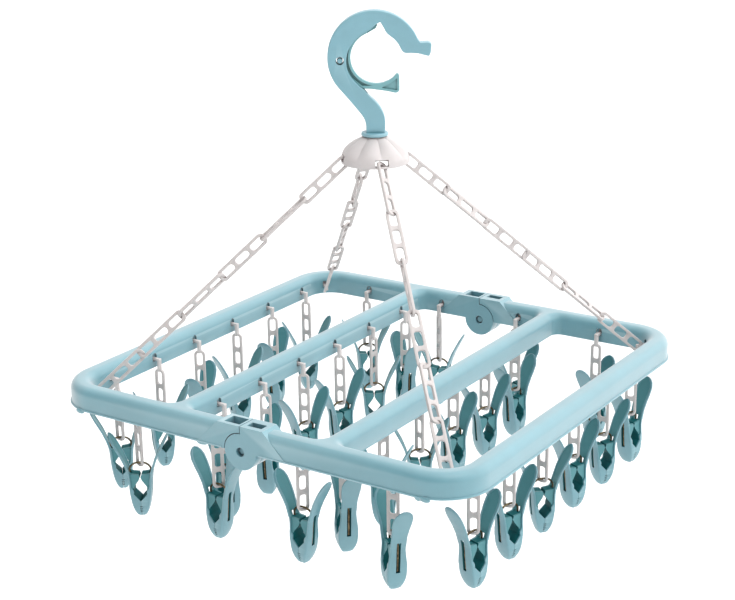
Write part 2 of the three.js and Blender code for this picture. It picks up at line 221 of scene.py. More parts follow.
def bridge(bm, rings):
    """Faces between each closed ring of vertices and the next."""
    for a, b in zip(rings, rings[1:]):
        for i in range(len(a)):
            j = (i + 1) % len(a)
            bm.faces.new((a[i], a[j], b[j], b[i]))


def prism(points, y0, y1, holes=()):
    """A closed profile in x and z, with holes, thickened between two y values."""
    bm = bmesh.new()
    edges = []
    for outline in [points, *holes]:
        verts = [bm.verts.new((x, y0, z)) for x, z in outline]
        edges += [bm.edges.new((a, b)) for a, b in zip(verts, verts[1:] + verts[:1])]
    bmesh.ops.triangle_fill(bm, use_beauty=True, use_dissolve=False, edges=edges)
    bmesh.ops.dissolve_limit(bm, angle_limit=0.01, verts=bm.verts, edges=bm.edges)
    moved = bmesh.ops.extrude_face_region(bm, geom=list(bm.faces))["geom"]
    verts = [g for g in moved if isinstance(g, bmesh.types.BMVert)]
    bmesh.ops.translate(bm, verts=verts, vec=(0, y1 - y0, 0))
    bmesh.ops.recalc_face_normals(bm, faces=bm.faces)
    return bm


def block(x0, x1, y0, y1, z0, z1):
    bm = bmesh.new()
    size = Matrix.Diagonal((x1 - x0, y1 - y0, z1 - z0, 1))
    middle = Matrix.Translation(((x0 + x1) / 2, (y0 + y1) / 2, (z0 + z1) / 2))
    bmesh.ops.create_cube(bm, size=1, matrix=middle @ size)
    return bm


def rod_y(radius, x, z, y0, y1, sides=64):
    bm = bmesh.new()
    turn = Matrix.Rotation(math.radians(90), 4, "X")
    place = Matrix.Translation((x, (y0 + y1) / 2, z)) @ turn
    bmesh.ops.create_cone(
        bm, cap_ends=True, segments=sides, radius1=radius, radius2=radius, depth=y1 - y0, matrix=place,
    )
    return bm


def lathe(profile, sides):
    """A closed profile of (radius, z) points turned about the z axis."""
    bm = bmesh.new()
    rings = []
    for r, z in profile:
        rings.append([
            bm.verts.new((r * math.cos(2 * math.pi * i / sides), r * math.sin(2 * math.pi * i / sides), z))
            for i in range(sides)
        ])
    bridge(bm, [*rings, rings[0]])
    bmesh.ops.remove_doubles(bm, verts=bm.verts, dist=1e-5)
    return bm


def turn_z(degrees):
    return Matrix.Rotation(math.radians(degrees), 4, "Z")


def arc(cx, cy, r, start, end, steps):
    points = []
    for i in range(steps + 1):
        a = math.radians(start + (end - start) * i / steps)
        points.append((cx + r * math.cos(a), cy + r * math.sin(a)))
    return points


def flowing(points, steps=5):
    """A smooth line through the points."""
    line = []
    for i in range(len(points) - 1):
        before = points[max(i - 1, 0)]
        start, end = points[i], points[i + 1]
        after = points[min(i + 2, len(points) - 1)]
        for k in range(steps):
            t = k / steps
            line.append(tuple(
                0.5 * (2 * b + (c - a) * t + (2 * a - 5 * b + 4 * c - d) * t * t
                       + (3 * b - a - 3 * c + d) * t ** 3)
                for a, b, c, d in zip(before, start, end, after)
            ))
    return [*line, points[-1]]


def rounded(points, r, steps=4):
    """A closed outline with every corner rounded by up to r."""
    out = []
    count = len(points)
    for i, corner in enumerate(points):
        here = Vector(corner)
        before = Vector(points[i - 1]) - here
        after = Vector(points[(i + 1) % count]) - here
        reach = min(r, before.length * 0.45, after.length * 0.45)
        a = here + before.normalized() * reach
        b = here + after.normalized() * reach
        for k in range(steps + 1):
            t = k / steps
            out.append(tuple(a * (1 - t) ** 2 + here * (2 * t * (1 - t)) + b * t * t))
    return out


# ---------- materials ----------

def new_material(name):
    material = bpy.data.materials.new(name)
    material.use_nodes = True
    nodes = material.node_tree.nodes
    return material, nodes, material.node_tree.links, nodes["Principled BSDF"]


def noise(nodes, links, coordinates, scale, detail=4, roughness=0.6):
    node = nodes.new("ShaderNodeTexNoise")
    node.inputs["Scale"].default_value = scale
    node.inputs["Detail"].default_value = detail
    node.inputs["Roughness"].default_value = roughness
    links.new(coordinates.outputs["Object"], node.inputs["Vector"])
    return node


def ramp(nodes, links, source, stops):
    node = nodes.new("ShaderNodeValToRGB")
    elements = node.color_ramp.elements
    while len(elements) < len(stops):
        elements.new(0.5)
    for element, (position, colour) in zip(elements, stops):
        element.position = position
        element.color = (*colour, 1)
    links.new(source, node.inputs["Fac"])
    return node


def mixed(nodes, links, factor, first, second, blend_type="MIX"):
    node = nodes.new("ShaderNodeMix")
    node.data_type = "RGBA"
    node.blend_type = blend_type
    for key, value in (("Factor", factor), ("A", first), ("B", second)):
        socket = node.inputs[key]
        if isinstance(value, bpy.types.NodeSocket):
            links.new(value, socket)
        elif isinstance(value, tuple):
            socket.default_value = (*value, 1)
        else:
            socket.default_value = value
    return node.outputs["Result"]


def shade(colour, factor):
    return tuple(c * factor for c in colour)


def mottled(nodes, links, coordinates, flow, colour):
    """The colour with soft clouds and fine flow marks."""
    cloud = noise(nodes, links, coordinates, 22, 3)
    base = ramp(nodes, links, cloud.outputs["Fac"], [(0.3, shade(colour, 0.94)), (0.7, shade(colour, 1.05))])
    fine = ramp(nodes, links, flow.outputs["Fac"], [(0.3, (0.96,) * 3), (0.7, (1.03,) * 3)])
    return mixed(nodes, links, 1.0, base.outputs["Color"], fine.outputs["Color"], "MULTIPLY")


# Pale convex edges found by pointiness: partly abrasion, partly a painted highlight along the edges.
def with_edge_wear_and_highlight(nodes, links, colour, edge_colour):
    geometry = nodes.new("ShaderNodeNewGeometry")
    edge_mask = ramp(nodes, links, geometry.outputs["Pointiness"], [(0.54, (0, 0, 0)), (0.6, (1, 1, 1))])
    edge_amount = nodes.new("ShaderNodeMath")
    edge_amount.operation = "MULTIPLY"
    edge_amount.inputs[1].default_value = 0.55
    links.new(edge_mask.outputs["Color"], edge_amount.inputs[0])
    return mixed(nodes, links, edge_amount.outputs["Value"], colour, edge_colour)


# Painted shade: ambient occlusion darkens the colour toward the shade colour in recesses, creases and gaps
# between parts.
def with_painted_recess_shade(nodes, links, colour, recess_shade_colour):
    occlusion = nodes.new("ShaderNodeAmbientOcclusion")
    occlusion.inputs["Distance"].default_value = 0.008
    depth = ramp(nodes, links, occlusion.outputs["AO"], [(0.15, (1, 1, 1)), (0.8, (0, 0, 0))])
    return mixed(nodes, links, depth.outputs["Color"], colour, recess_shade_colour)


def eroded_grain(nodes, links, coordinates):
    """The normal of a surface with the fine pits of a spark-eroded mould."""
    bump = nodes.new("ShaderNodeBump")
    bump.inputs["Strength"].default_value = 0.05
    bump.inputs["Distance"].default_value = 0.0003
    pits = noise(nodes, links, coordinates, 2600, 2)
    links.new(pits.outputs["Fac"], bump.inputs["Height"])
    return bump.outputs["Normal"]


def moulded_plastic(
    name, colour, edge_colour, recess_shade_colour, roughness, subsurface=0.0, specular=0.75, haze=0.0,
):
    """Injection-moulded plastic: cloudy colour, pale edges that are partly abraded and partly a painted
    highlight, painted shade in recesses and a fine grain.
    """
    material, nodes, links, shader = new_material(name)
    coordinates = nodes.new("ShaderNodeTexCoord")
    flow = noise(nodes, links, coordinates, 90, 5, 0.7)
    paint = mottled(nodes, links, coordinates, flow, colour)
    paint = with_edge_wear_and_highlight(nodes, links, paint, edge_colour)
    paint = with_painted_recess_shade(nodes, links, paint, recess_shade_colour)
    links.new(paint, shader.inputs["Base Color"])
    rough = ramp(nodes, links, flow.outputs["Fac"], [
        (0.25, (roughness * 0.85,) * 3), (0.75, (roughness * 1.18,) * 3),
    ])
    links.new(rough.outputs["Color"], shader.inputs["Roughness"])
    links.new(eroded_grain(nodes, links, coordinates), shader.inputs["Normal"])
    for key, value in (
        ("IOR", 1.58),
        ("Specular IOR Level", specular),
        ("Sheen Weight", haze),
        ("Sheen Roughness", 0.5),
        ("Sheen Tint", (1.0, 0.9, 0.88, 1.0)),
        ("Subsurface Weight", subsurface),
        ("Subsurface Radius", (0.9, 0.8, 0.7)),
        ("Subsurface Scale", 0.002),
    ):
        shader.inputs[key].default_value = value
    return material


def spring_wire_metal():
    """Yellow-plated spring wire with drawn streaks and darker oxide."""
    material, nodes, links, shader = new_material("spring_wire")
    coordinates = nodes.new("ShaderNodeTexCoord")
    patches = noise(nodes, links, coordinates, 350, 4)
    colour = ramp(nodes, links, patches.outputs["Fac"], [
        (0.3, (0.04, 0.03, 0.018)), (0.55, (0.15, 0.115, 0.065)), (0.75, (0.30, 0.24, 0.15)),
    ])
    links.new(colour.outputs["Color"], shader.inputs["Base Color"])
    rough = ramp(nodes, links, patches.outputs["Fac"], [(0.3, (0.5,) * 3), (0.7, (0.28,) * 3)])
    links.new(rough.outputs["Color"], shader.inputs["Roughness"])
    shader.inputs["Metallic"].default_value = 0.9
    return material


# Each plastic: its colour, its edge colour (partly abrasion, partly painted highlight), its painted recess
# shade, its roughness.
FRAME = moulded_plastic(
    "frame_plastic", (0.126, 0.318, 0.378), (0.32, 0.51, 0.56), (0.012, 0.09, 0.125), 0.38,
    subsurface=0.05, haze=0.6,
)
HOOK = moulded_plastic(
    "hook_plastic", (0.175, 0.375, 0.445), (0.38, 0.58, 0.63), (0.015, 0.12, 0.15), 0.36,
    subsurface=0.05,
)
LEVER = moulded_plastic(
    "lever_plastic", (0.15, 0.37, 0.40), (0.34, 0.57, 0.59), (0.01, 0.13, 0.14), 0.4,
)
# A darker copy of the lever plastic, painted on the lever's sunk faces as the shade under the hook's cheeks.
LEVER_PAINTED_SHADE = moulded_plastic(
    "lever_painted_shade", (0.03, 0.19, 0.20), (0.12, 0.36, 0.38), (0.005, 0.08, 0.09), 0.42,
)
PEG = moulded_plastic(
    "peg_plastic", (0.115, 0.28, 0.33), (0.31, 0.51, 0.55), (0.02, 0.13, 0.155), 0.38,
    subsurface=0.03,
)
# Darker copies of the peg plastic that paint shade on a jaw's inner faces: the deepest between the jaws and
# in the wire slot, and a lighter one on the core's sides and the handle's inner face.
PEG_PAINTED_DEEP_SHADE = moulded_plastic(
    "peg_painted_deep_shade", (0.008, 0.12, 0.13), (0.03, 0.22, 0.24), (0.003, 0.06, 0.07), 0.6,
    specular=0.1,
)
PEG_PAINTED_SHADE = moulded_plastic(
    "peg_painted_shade", (0.07, 0.235, 0.26), (0.23, 0.43, 0.47), (0.008, 0.11, 0.125), 0.45,
    specular=0.35,
)
LINK = moulded_plastic(
    "link_plastic", (0.56, 0.52, 0.51), (0.68, 0.645, 0.635), (0.27, 0.225, 0.22), 0.5,
    subsurface=0.1, specular=0.4,
)
HUB = moulded_plastic(
    "hub_plastic", (0.6, 0.56, 0.555), (0.69, 0.66, 0.655), (0.28, 0.235, 0.23), 0.5,
    subsurface=0.1, specular=0.4,
)
WIRE = spring_wire_metal()
# The peg plastic, then its deep and its lighter painted shade, in the order of a jaw's material indices.
PEG_PLASTICS = (PEG, PEG_PAINTED_DEEP_SHADE, PEG_PAINTED_SHADE)


# ---------- frame leaves ----------

def leaf_outer():
    """Outline of the right leaf: its rail, and the inner side of the cross bar."""
    f = FILLET_R
    return [
        (STUB_X, -OUTER_Y),
        *arc(OUTER_X - OUTER_R, -OUTER_Y + OUTER_R, OUTER_R, -90, 0, CORNER_STEPS),
        *arc(OUTER_X - OUTER_R, OUTER_Y - OUTER_R, OUTER_R, 0, 90, CORNER_STEPS),
        (STUB_X, OUTER_Y),
        (STUB_X, INNER_Y),
        *arc(BAR_X - f, INNER_Y - f, f, 90, 0, FILLET_STEPS),
        *arc(BAR_X - f, -INNER_Y + f, f, 0, -90, FILLET_STEPS),
        (STUB_X, -INNER_Y),
    ]


def leaf_window():
    """Outline of the right leaf's window."""
    x0 = BAR_X + BAR_W
    f = FILLET_R
    return [
        *arc(x0 + f, -INNER_Y + f, f, 180, 270, FILLET_STEPS),
        *arc(INNER_X - INNER_R, -INNER_Y + INNER_R, INNER_R, -90, 0, CORNER_STEPS),
        *arc(INNER_X - INNER_R, INNER_Y - INNER_R, INNER_R, 0, 90, CORNER_STEPS),
        *arc(x0 + f, INNER_Y - f, f, 90, 180, FILLET_STEPS),
    ]


def moved_in(points, distances):
    """The closed outline moved to its left by a distance given for each point."""
    out = []
    count = len(points)
    for i, here in enumerate(points):
        a = Vector(here) - Vector(points[i - 1])
        b = Vector(points[(i + 1) % count]) - Vector(here)
        if a.length < 1e-9:
            a = b
        if b.length < 1e-9:
            b = a
        n1 = Vector((-a.y, a.x)).normalized()
        n2 = Vector((-b.y, b.x)).normalized()
        mitre = (n1 + n2) / max(1 + n1.dot(n2), 0.2)
        out.append(tuple(Vector(here) + mitre * distances[i]))
    return out


def rail_profile(lip):
    """(inset, height) round a rail's wall, from the ceiling inside to the flat on top."""
    r, crown = 6.4, 6.6
    inside = [(7.0, 6.6), (5.0, 6.3), (3.2, 5.0), (2.2, 2.4), (WALL, LOW_Z + 0.3), (1.7, LOW_Z)]
    outside = [(0.25 - lip, LOW_Z), (-lip, LOW_Z + 0.25), (-lip, LOW_Z + 0.9), (0.1 - lip, LOW_Z + 1.15)]
    foot = [(0, LOW_Z + 1.5), (0, -2), (0, TOP_Z - crown)]
    steps = 9
    top = [
        (r * (1 - math.cos(a)), TOP_Z - crown + crown * math.sin(a))
        for a in [math.pi / 2 * (i + 1) / steps for i in range(steps)]
    ]
    return [*inside, *outside, *foot, *top]


def on_outer_side(x, y):
    """Whether a point of a leaf's outline is on the frame's outer wall, which has a lip at its foot."""
    return abs(x) > INNER_X + 4 or abs(y) > INNER_Y + 4


def leaf_shell():
    """The right leaf as a closed inverted channel, before its holes are made."""
    bm = bmesh.new()
    caps = {"top": [], "ceiling": []}
    outer, window = leaf_outer(), leaf_window()[::-1]
    for outline in (outer, window):
        plain = rail_profile(0)
        lipped = rail_profile(0.9)
        rings = []
        for (d0, z0), (d1, _) in zip(plain, lipped):
            distances = [d1 if on_outer_side(*p) and outline is outer else d0 for p in outline]
            ring = [bm.verts.new((x, y, z0)) for x, y in moved_in(outline, distances)]
            rings.append(ring)
        bridge(bm, rings)
        for cap, ring in (("ceiling", rings[0]), ("top", rings[-1])):
            caps[cap] += [bm.edges.get((p, q)) for p, q in zip(ring, ring[1:] + ring[:1])]
    for edges in caps.values():
        bmesh.ops.triangle_fill(bm, use_beauty=True, use_dissolve=False, edges=edges)
    bmesh.ops.remove_doubles(bm, verts=bm.verts, dist=1e-4)
    return bm


def peg_hole(x, y, turn):
    """A D-shaped cutter through a wall."""
    outline = [
        (-HOLE_W / 2, -HOLE_H / 2), (HOLE_W / 2, -HOLE_H / 2),
        *arc(0, HOLE_H / 2 - HOLE_W / 2, HOLE_W / 2, 0, 180, 10),
    ]
    tool = prism(outline, -2 * WALL, 2 * WALL)
    tool.transform(Matrix.Translation((x, y, 0)) @ turn_z(turn))
    return tool


def leaf_holes():
    """Cutters for the right leaf's peg holes and for the chains' holes in its corners."""
    holes = [peg_hole(INNER_X, y, 90) for y in HOLES_Y]
    holes += [peg_hole(BAR_X, y, 90) for y in HOLES_Y]
    for x in HOLES_X[2:]:
        holes += [peg_hole(x, -INNER_Y, 0), peg_hole(x, INNER_Y, 0)]
    reach = INNER_R * math.sqrt(0.5)
    for end in (-1, 1):
        x, y = INNER_X - INNER_R + reach, (INNER_Y - INNER_R + reach) * end
        holes.append(peg_hole(x, y, -45 * end))
    return joined(holes)


def hinge_block(side, end):
    """The raised block at one end of a leaf, with its lug, pin bore and moulded pocket."""
    outer_layer = (LUG_SPLIT_Y + LUG_GAP / 2, OUTER_Y + PROUD)
    inner_layer = (INNER_Y - PROUD, LUG_SPLIT_Y - LUG_GAP / 2)
    own, other = (outer_layer, inner_layer) if side > 0 else (inner_layer, outer_layer)

    def span(a, b):
        return (a, b) if end > 0 else (-b, -a)

    low = LOW_Z - 0.2
    profile = [(0.3, BLOCK_TOP), (BLOCK_TOP_X, BLOCK_TOP), (BLOCK_LOW_X, low), (0.3, low)]
    y0, y1 = span(INNER_Y - PROUD, OUTER_Y + PROUD)
    body = prism([(x * side, z) for x, z in profile], y0, y1)
    body = cut(body, rod_y(LUG_R + 0.7, 0, PIVOT_Z, *span(other[0] - 1, other[1] + 1), 96))
    body = fused(body, rod_y(LUG_R, 0, PIVOT_Z, *span(*own), 96))
    body = cut(body, rod_y(PIN_R + 0.5, 0, PIVOT_Z, y0 - 1, y1 + 1, 48))
    pocket_x, pocket_y = ((3.6, 16), (5.6, 12.4)) if side > 0 else ((2, 15.4), (2.4, 13.4))
    xs = sorted(x * side for x in pocket_x)
    ys = span(*(INNER_Y + y for y in pocket_y))
    body = cut(body, block(*xs, *ys, BLOCK_TOP - 6, BLOCK_TOP + 1))
    return bevelled(body, 0.45, 2)


def gate_mark(side):
    """The small round nub left by the mould under the lip of a leaf's front corner."""
    bm = bmesh.new()
    turn = math.radians(-78)
    reach = OUTER_R + 0.4
    x = OUTER_X - OUTER_R + reach * math.cos(turn)
    y = -OUTER_Y + OUTER_R + reach * math.sin(turn)
    place = Matrix.Translation((x * side, y, LOW_Z - 0.4)) @ Matrix.Diagonal((4, 1.2, 2, 1))
    bmesh.ops.create_uvsphere(bm, u_segments=24, v_segments=12, radius=1, matrix=place)
    return bm


def build_leaves():
    right = cut(leaf_shell(), leaf_holes())
    left = copied(right, Matrix.Diagonal((-1, 1, 1, 1)))
    for side, name, bm in ((-1, "left", left), (1, "right", right)):
        body = f"leaf_{name}"
        shell = to_object(bm, f"frame_shell_{name}", FRAME)
        attach(shell, body, f"frame_leaf_{name}")
        mark = to_object(gate_mark(side), f"gate_mark_{name}", FRAME)
        attach(mark, body)
        for end, where in ((-1, "front"), (1, "rear")):
            piece = to_object(hinge_block(side, end), f"hinge_block_{where}_{name}", FRAME)
            flatten(piece)
            attach(piece, body)


def hinge_pin(end):
    """A hinge's pin, sunk a little at both ends of its bore."""
    y0, y1 = INNER_Y + 0.9, OUTER_Y - 1.9
    span = (y0, y1) if end > 0 else (-y1, -y0)
    return bevelled(rod_y(PIN_R - 0.35, 0, PIVOT_Z, *span, 48), 0.5, 3, 50)


def build_hinge_pins():
    for end, where in ((-1, "front"), (1, "rear")):
        piece = to_object(hinge_pin(end), f"pin_{where}", FRAME)
        attach(piece, "hinge_pins", f"hinge_pin_{where}")


# ---------- strips and chains ----------

def rectangle(width, low, top):
    return [(-width / 2, low), (width / 2, low), (width / 2, top), (-width / 2, top)]


def ladder_strip(low, top, end_bar, mid_bar, opening, width, thick):
    """A flat strip across y with three rounded openings."""
    count = 3
    height = (top - low - 2 * end_bar - (count - 1) * mid_bar) / count
    holes = []
    for i in range(count):
        z0 = low + end_bar + i * (height + mid_bar)
        holes.append(rounded(rectangle(opening, z0, z0 + height), 2.4))
    strip = prism(rounded(rectangle(width, low, top), 4.2, 8), -thick / 2, thick / 2, holes)
    strip.transform(turn_z(90))
    return bevelled(strip, 0.4, 2)


def hook_arm(reach, low):
    """A neck, an arm through a wall hole toward +x and a catch turned up behind the wall."""
    back = reach + WALL + 0.5
    outline = [
        (-1.3, low), (1.2, low), (1.2, -2.4), (back + 1.4, -2.4), (back + 1.4, 1.6),
        (back, 1.6), (back, -0.4), (-1.3, -0.4),
    ]
    return bevelled(prism(rounded(outline, 0.7, 3), -1.5, 1.5), 0.35, 2)


def chain_line():
    """Start, direction and pitch of the links, and the corner at +x +y where they end."""
    eye = Vector((RIM_R * math.sqrt(0.5), RIM_R * math.sqrt(0.5), RIM_Z))
    reach = (INNER_R - CHAIN_HANG) * math.sqrt(0.5)
    corner = Vector((INNER_X - INNER_R + reach, INNER_Y - INNER_R + reach, CHAIN_EYE_Z))
    way = (corner - eye).normalized()
    start = eye - way * 2.2
    pitch = (corner + way - start).length / CHAIN_LINKS
    return start, way, pitch, corner


def build_chains():
    """Four chains of equal links, mirrored from the one at +x +y and each rolled its own way."""
    start, way, pitch, corner = chain_line()
    end_bar = 2.4
    length = pitch + 2 * end_bar - 0.3
    link = ladder_strip(-length / 2, length / 2, end_bar, 3.0, 5.6, 9.6, 2.0)
    heading = math.atan2(way.y, way.x)
    lean = math.acos(-way.z)
    for name, rolls in CHAIN_ROLLS.items():
        side = -1 if name.endswith("left") else 1
        end = -1 if name.startswith("front") else 1
        flip = Matrix.Diagonal((side, end, 1, 1))
        body = f"chain_{name}"
        for i, roll in enumerate(rolls):
            at = start + way * (pitch * (i + 0.5))
            turn = Matrix.Rotation(heading, 4, "Z") @ Matrix.Rotation(-lean, 4, "Y") @ turn_z(90 + roll)
            moved = copied(link, flip @ Matrix.Translation(at) @ turn)
            piece = to_object(moved, f"chain_{name}_link_{i + 1}", LINK)
            attach(piece, body, body if i == 0 else None)
        arm = hook_arm(CHAIN_HANG, -4)
        arm.transform(Matrix.Translation((corner.x, corner.y, 0)) @ turn_z(45))
        hook = to_object(copied(arm, flip), f"chain_{name}_corner_hook", LINK)
        arm.free()
        attach(hook, body)
    link.free()


# ---------- pegs ----------

# A jaw's inner face, outer face and half width at heights from its tip to its handle's end. Between
# CORE_LOW and CORE_TOP it is an outer plate on a narrower core, and the plate grows below PLATE_GROWS.
JAW_TIP, JAW_END = -42, 24
PLATE, PLATE_GROWS = 2.2, -18
CORE_LOW, CORE_TOP, CORE_INSET = -29.4, -7.4, 1.3
JAW_STEPS = 60
JAW_INNER = [
    (JAW_TIP, 0.08), (-28.8, 0.08), (-23.5, 4.9), (-18, 4.9), (-13, 1.2), (-10.6, 0.2), (-8.4, 1.0),
    (-7.9, 5.6), (CORE_TOP, 7.6), (0, 9.9), (7, 12.7), (14, 16.4), (20, 19.6), (JAW_END, 21.8),
]
JAW_OUTER = [
    (JAW_TIP, 1.5), (-41.6, 2.7), (-40.6, 3.9), (-38.5, 5.1), (-35, 6.3), (-30, 7.5), (-25, 8.2), (-18, 8.9),
    (-12, 9.3), (-6, 10.1), (0, 11.9), (6, 14.3), (12, 17.2), (18, 20.2), (22, 22.2), (JAW_END, 22.6),
]
JAW_HALF_WIDTH = [
    (JAW_TIP, 2.2), (-41.6, 3.2), (-40.6, 4.2), (-37, 5.9), (-33, 7.0), (-28, 7.3), (-22, 7.1), (-16, 6.3),
    (-11, 5.8), (0, 5.8), (6, 6.4), (12, 7.1), (17, 7.1), (20.5, 5.9), (23, 3.6), (JAW_END, 1.2),
]


def at_height(table, z):
    """The value between the table's rows at a height."""
    for (z0, v0), (z1, v1) in zip(table, table[1:]):
        if z <= z1:
            return v0 + (v1 - v0) * (z - z0) / (z1 - z0)
    return table[-1][1]


def jaw_heights():
    """The heights of a jaw's sections: every row of its tables, and even steps between them."""
    exact = {z for table in (JAW_INNER, JAW_OUTER, JAW_HALF_WIDTH) for z, _ in table}
    exact |= {CORE_LOW, CORE_LOW + 0.3}
    even = {JAW_TIP + (JAW_END - JAW_TIP) * i / JAW_STEPS for i in range(JAW_STEPS + 1)}
    kept = []
    for z in sorted(exact | even):
        if not kept or z - kept[-1] > 0.25:
            kept.append(z)
    return kept


def jaw_section(z):
    """A rounded cross-section: a crowned outer plate, and inside it a narrower core or a dished handle."""
    inner, outer, half = (at_height(table, z) for table in (JAW_INNER, JAW_OUTER, JAW_HALF_WIDTH))
    has_core = CORE_LOW < z < CORE_TOP
    thick = outer - inner
    r = min(1.2, thick * 0.4, half * 0.5)
    crown = min(0.7, thick * 0.15)
    plate = thick - 0.02
    if has_core:
        plate = min(PLATE + 0.6 * max(0, PLATE_GROWS - z), plate)
    shoulder = outer - plate
    core = half - (CORE_INSET if has_core else 0.4)
    edge_x, crest_x = outer - crown - r, outer - 0.25 * crown
    ring = arc(edge_x, half - r, r, 90, 0, 3)
    ring += [(crest_x, half * 0.35), (outer, 0), (crest_x, -half * 0.35)]
    ring += arc(edge_x, -half + r, r, 0, -90, 3)
    rim = max(core - 1.4, core * 0.5)
    dish = 0.35 if z > CORE_TOP else 0
    ring += [(shoulder, -half + 0.3), (shoulder - 0.01, -core), (inner, -core + 0.3)]
    ring += [(inner, -rim), (inner + dish, -rim + 0.3), (inner + dish, rim - 0.3), (inner, rim)]
    ring += [(inner, core - 0.3), (shoulder - 0.01, core), (shoulder, half - 0.3)]
    return ring


def paint_inside(bm):
    """Paint shade onto the faces that light hardly reaches: the second material, the deepest painted shade,
    goes on the faces between the jaws and in the wire slot, and the third, a lighter painted shade, goes on
    the core's sides and the handle's inner face, but not its rim.
    """
    for face in bm.faces:
        centre = face.calc_center_median()
        half = at_height(JAW_HALF_WIDTH, centre.z)
        on_handle = centre.z > CORE_TOP
        sunk = abs(centre.y) < half - (1.5 if on_handle else CORE_INSET - 0.35)
        in_slot = abs(centre.y) < 1.6 and centre.x < at_height(JAW_OUTER, centre.z) - 0.5
        if centre.z < CORE_LOW or not sunk:
            continue
        if in_slot and centre.z > -28 and face.normal.x > -0.3 and not on_handle:
            face.material_index = 1
        elif face.normal.x < 0.4:
            between = not on_handle and face.normal.x < -0.3
            face.material_index = 1 if between else 2
    return bm


def jaw_mesh():
    """One jaw of a clothes peg, on the +x side of its clip, with its wire slot."""
    bm = bmesh.new()
    rings = [[bm.verts.new((x, y, z)) for x, y in jaw_section(z)] for z in jaw_heights()]
    bridge(bm, rings)
    bm.faces.new(rings[0])
    bm.faces.new(rings[-1])
    bmesh.ops.recalc_face_normals(bm, faces=bm.faces)
    slot = [(14, -3.4), (7.2, -4.6), (6.4, -8), (5.4, -27.4), (14, -27.4)]
    bm = cut(bm, prism(slot, -1.5, 1.5))
    grip = [(0.9, -38.4), (-0.2, -37.9), (0.9, -37.4)]
    teeth = joined([
        prism([(x, z + 1.6 * i) for x, z in grip], -8, 8) for i in range(4)
    ])
    return paint_inside(cut(bm, teeth))


def spring_mesh():
    """The wire spring: an arch over the strip, its legs running down into both slots."""
    side = [(4.5, -0.9), (7.5, -3.8), (7.9, -8), (7.6, -14), (6.9, -22), (6.4, -26.2), (5.9, -26.7)]
    line = flowing([*[(-x, z) for x, z in reversed(side)], (0, 0), *side], 5)
    bm = bmesh.new()
    sides = 10
    rings = []
    for i, (x, z) in enumerate(line):
        before = line[max(i - 1, 0)]
        after = line[min(i + 1, len(line) - 1)]
        along = Vector((after[0] - before[0], 0, after[1] - before[1])).normalized()
        across = Vector((along.z, 0, -along.x))
        ring = []
        for k in range(sides):
            a = 2 * math.pi * k / sides
            ring.append(bm.verts.new(
                Vector((x, 0, z)) + across * (WIRE_R * math.cos(a)) + Vector((0, WIRE_R * math.sin(a), 0))
            ))
        rings.append(ring)
    bridge(bm, rings)
    bm.faces.new(rings[0])
    bm.faces.new(rings[-1])
    return bm


# Each row of pegs: the way into its wall, the way its strips face, its holes, and the turn of each clip.
ROWS = {
    "left": (180, 123.5, [(-INNER_X + HANG, y) for y in HOLES_Y], [10, 20, 75, 30, 70, 20]),
    "bar_left": (180, 123.5, [(-BAR_X + HANG, y) for y in HOLES_Y], [-60, 75, 40, 35, 0, -70]),
    "bar_right": (0, 123.5, [(BAR_X - HANG, y) for y in HOLES_Y], [-75, -20, 5, 40, 30, 45]),
    "right": (0, 123.5, [(INNER_X - HANG, y) for y in HOLES_Y], [40, 35, 15, 35, 25, 45]),
    "front": (-90, 90, [(x, -INNER_Y + HANG) for x in HOLES_X], [0, -35, -35, -70]),
    "rear": (90, 90, [(x, INNER_Y - HANG) for x in HOLES_X], [10, -20, 30, 50]),
}


def strip_azimuth(clip_azimuth, facing):
    """The way a strip faces: along its row, but no more than TWIST away from its clip."""
    away = (facing - clip_azimuth + 90) % 180 - 90
    return clip_azimuth + max(-TWIST, min(TWIST, away))


def peg_templates():
    """The pieces that every peg is made of, about its hole or about the apex of its spring."""
    low = APEX_Z - WIRE_R - WIRE_GAP - STRIP_END_BAR
    return {
        "arm": hook_arm(HANG, -11.2),
        "strip": ladder_strip(low, STRIP_TOP, STRIP_END_BAR, 3.6, 4.8, 9, 1.9),
        "spring": spring_mesh(),
        "jaw": jaw_mesh(),
    }


def build_peg(name, templates, x, y, wall, facing, clip_azimuth):
    """One peg. A split peg has a body each for its strip, clip and moving jaw, and the others have one."""
    split = f"peg_{name}_link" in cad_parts
    if split:
        link_body, clip_body, jaw_body = f"link_{name}", f"clip_{name}", f"jaw_{name}"
    else:
        link_body = clip_body = jaw_body = f"peg_{name}"
    hole = Matrix.Translation((x, y, 0))
    apex = Matrix.Translation((x, y, APEX_Z))

    def piece(template, label, material, matrix):
        return to_object(copied(templates[template], matrix), f"{label}_{name}", material)

    arm = piece("arm", "arm", LINK, hole @ turn_z(wall))
    strip = piece("strip", "strip", LINK, hole @ turn_z(strip_azimuth(clip_azimuth, facing)))
    wire = piece("spring", "spring", WIRE, apex @ turn_z(clip_azimuth))
    jaw_a = piece("jaw", "jaw_a", PEG_PLASTICS, apex @ turn_z(clip_azimuth))
    jaw_b = piece("jaw", "jaw_b", PEG_PLASTICS, apex @ turn_z(clip_azimuth + 180))

    attach(arm, link_body)
    attach(strip, link_body, f"peg_{name}_link" if split else f"peg_{name}")
    attach(jaw_a, jaw_body, f"peg_{name}_jaw_a" if split else None)
    attach(jaw_b, clip_body, f"peg_{name}_jaw_b" if split else None)
    if not split:
        attach(wire, link_body)
        return
    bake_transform(wire)
    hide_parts(f"peg_{name}_spring")


def build_pegs():
    templates = peg_templates()
    for row, (wall, facing, places, turns) in ROWS.items():
        for i, ((x, y), turn) in enumerate(zip(places, turns)):
            build_peg(f"{row}_{i + 1}", templates, x, y, wall, facing, HOOK_TURN + turn)


# ---------- hub ----------

